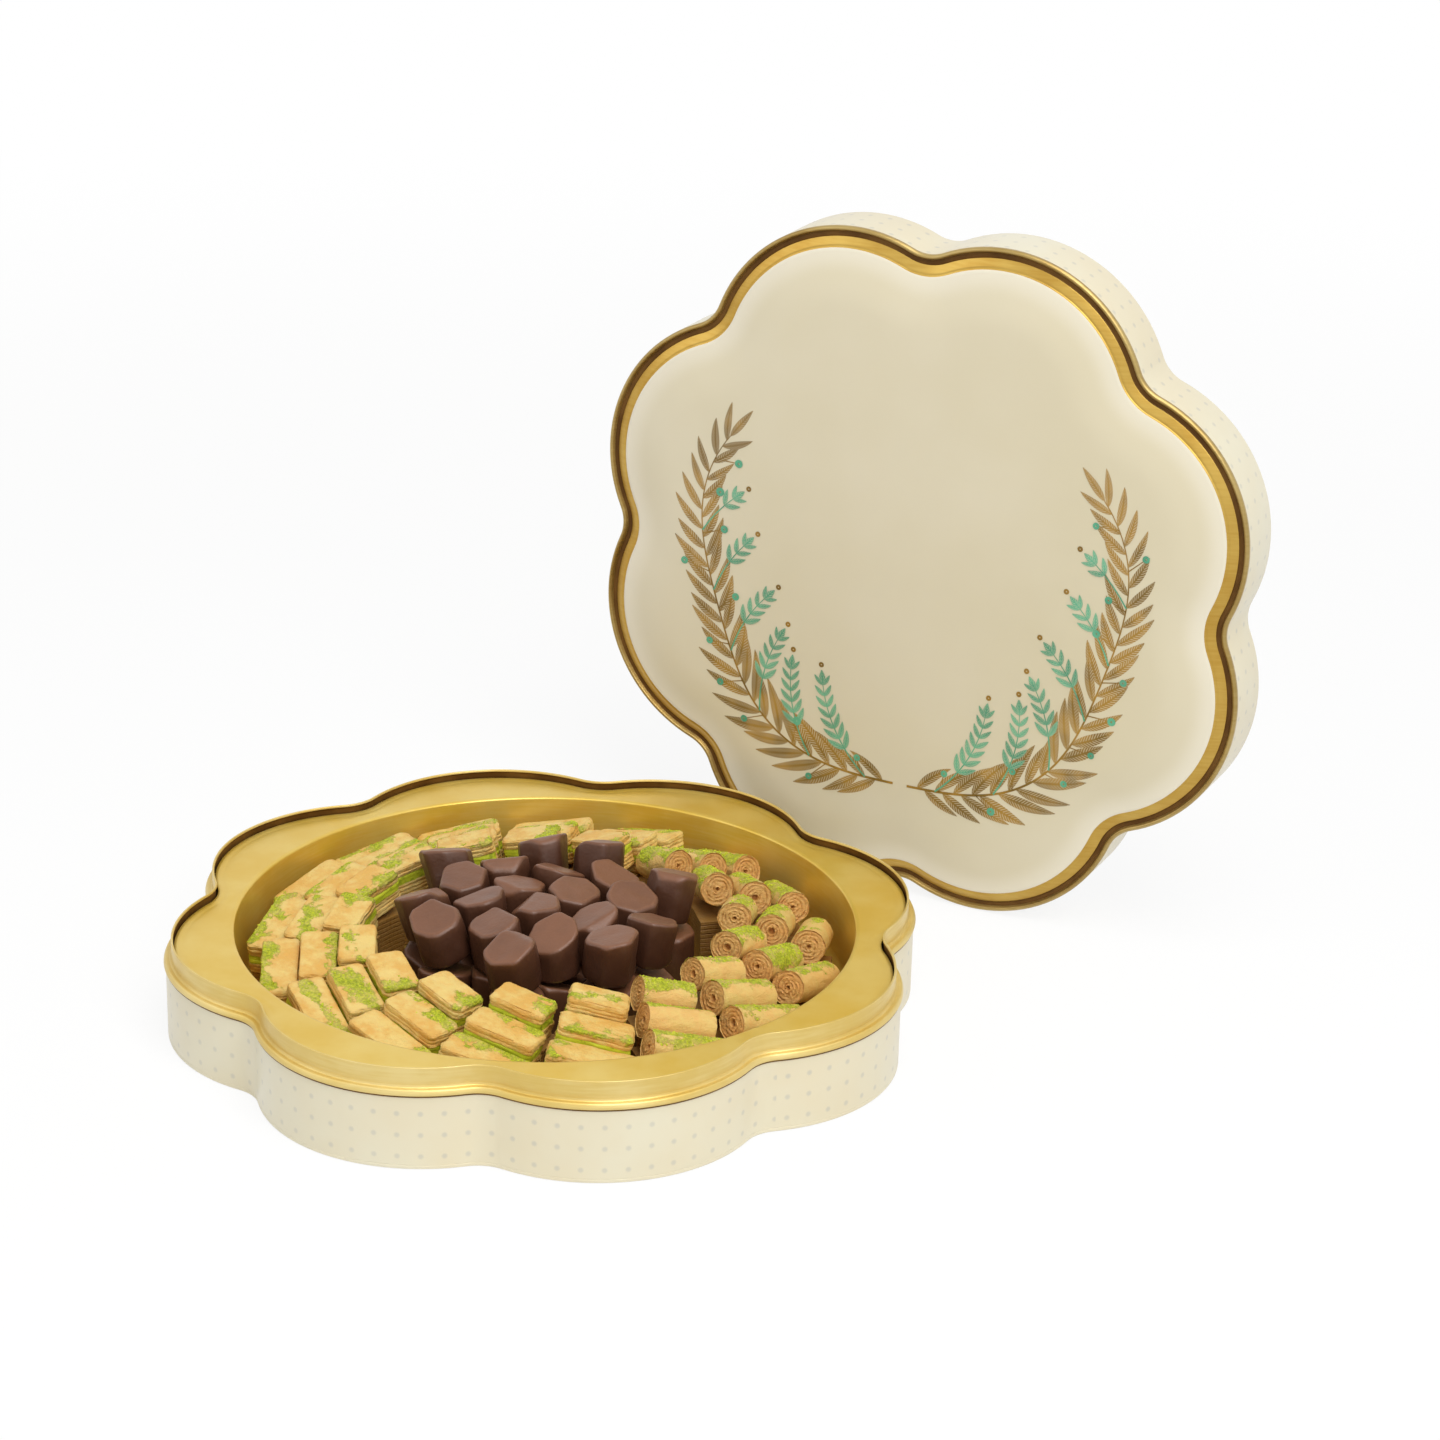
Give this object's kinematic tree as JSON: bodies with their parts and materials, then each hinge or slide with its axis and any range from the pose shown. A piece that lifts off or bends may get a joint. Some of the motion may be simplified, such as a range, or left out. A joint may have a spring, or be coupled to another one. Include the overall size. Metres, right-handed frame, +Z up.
{
  "type": "baklava tin",
  "caption": "Lobed round tin standing open, a gold insert full of pastry slabs, rolls and chocolates in its base and its lid standing on edge behind.",
  "frame": {"origin": "on the floor under the middle of the base", "axes": "+Z up, the lid stands behind the base on the +Y side and its face looks to -Y"},
  "size_m": [0.3733, 0.3449, 0.287],
  "materials": {
    "printed_tin": "satin cream print with a grid of faint dots",
    "plain_tin": "clear lacquer",
    "gold_tin": "gold lacquer, satin",
    "printed_lid": "satin print, gold at the edge",
    "gold_insert": "metallised gold, satin",
    "pastry": "baked pastry, flaky",
    "rolled_pastry": "baked pastry, wound",
    "chocolate": "milk chocolate, soft sheen"
  },
  "bodies": {
    "base": {"base_wall": "printed_tin", "base_bottom": "plain_tin", "base_neck": "gold_tin"},
    "insert": {"tray": "gold_insert", "chocolate_row_1": "chocolate", "chocolate_row_2": "chocolate", "chocolate_row_3": "chocolate", "chocolate_row_4": "chocolate", "chocolate_row_5": "chocolate", "chocolate_row_6": "chocolate", "roll_row_1": "rolled_pastry", "roll_row_2": "rolled_pastry", "roll_row_3": "rolled_pastry", "roll_row_4": "rolled_pastry", "roll_row_5": "rolled_pastry", "roll_row_6": "rolled_pastry", "slab_row_1": "pastry", "slab_row_10": "pastry", "slab_row_11": "pastry", "slab_row_2": "pastry", "slab_row_3": "pastry", "slab_row_4": "pastry", "slab_row_5": "pastry", "slab_row_6": "pastry", "slab_row_7": "pastry", "slab_row_8": "pastry", "slab_row_9": "pastry", "under_heap": "chocolate", "under_layer": "pastry"},
    "lid": {"lid_wall": "printed_tin", "lid_panel": "printed_lid"}
  },
  "joints": [
    {"name": "tray_lift", "type": "slide", "parent": "base", "child": "insert", "axis": [0, 0, 1], "range_m": [0, 0.08]},
    {"name": "lid_lift", "type": "slide", "parent": "base", "child": "lid", "axis": [0, 0, 1], "range_m": [0, 0.15]}
  ]
}
